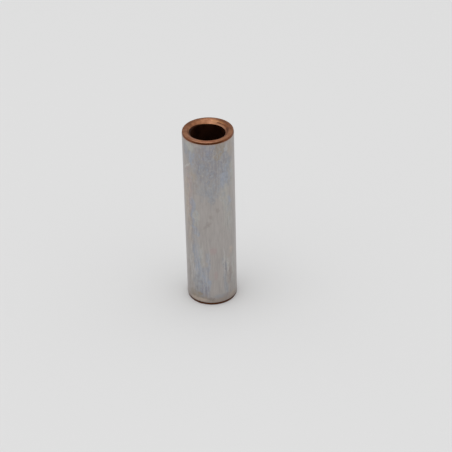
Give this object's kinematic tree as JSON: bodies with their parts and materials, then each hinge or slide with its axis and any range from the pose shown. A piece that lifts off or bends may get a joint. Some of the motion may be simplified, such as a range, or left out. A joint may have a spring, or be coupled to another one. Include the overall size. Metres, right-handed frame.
{
  "type": "gudgeon pin",
  "caption": "Hollow ground-steel gudgeon pin with tapered lead-in edges, a chamfered through bore and copper-toned end faces; joins a piston to its connecting rod.",
  "frame": {"origin": "centre of the lower end face, on the pin's axis", "axes": "+Z along the pin's axis, up; X and Y are arbitrary, because the pin is a solid of revolution"},
  "size_m": [0.02, 0.02, 0.0755],
  "materials": {
    "pin_steel": "fine ground outside with faint oil-film tints, copper-flashed end faces, dark oxidised bore"
  },
  "bodies": {
    "root": {"gudgeon_pin": "pin_steel"}
  },
  "joints": []
}
